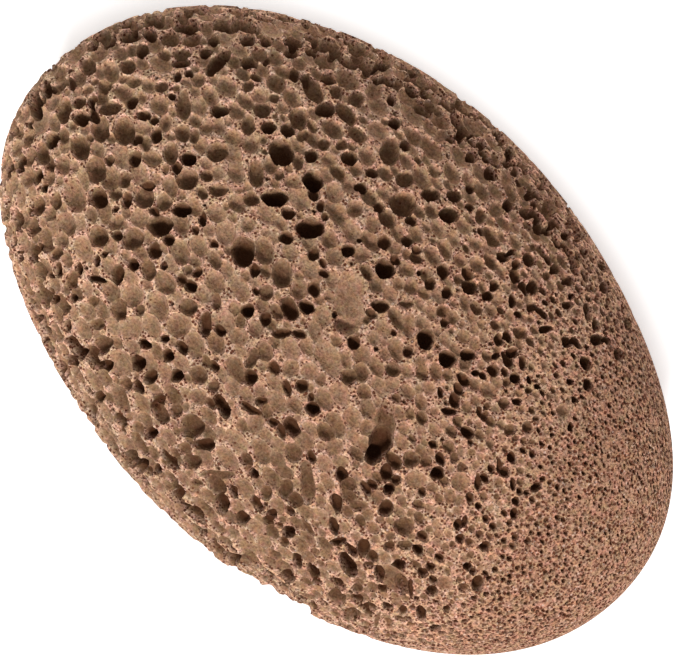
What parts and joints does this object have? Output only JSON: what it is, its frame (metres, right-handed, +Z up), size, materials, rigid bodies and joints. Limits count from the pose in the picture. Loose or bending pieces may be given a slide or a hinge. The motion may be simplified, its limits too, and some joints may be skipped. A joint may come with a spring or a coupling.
{
  "type": "pumice stone",
  "caption": "Oval foot-care pebble of porous reddish-brown lava, worn smooth all round, with open gas pores and a finer-grained end; rubs hard skin.",
  "frame": {"origin": "bottom centre of the stone's box, on the small worn flat that it rests on", "axes": "+X along the stone's long axis towards its fine-grained end, +Y across its width, +Z up through its thickness"},
  "size_m": [0.096, 0.0628, 0.044],
  "materials": {
    "stone": "matt, rough and porous"
  },
  "bodies": {
    "root": {"pumice_stone": "stone"}
  },
  "joints": []
}
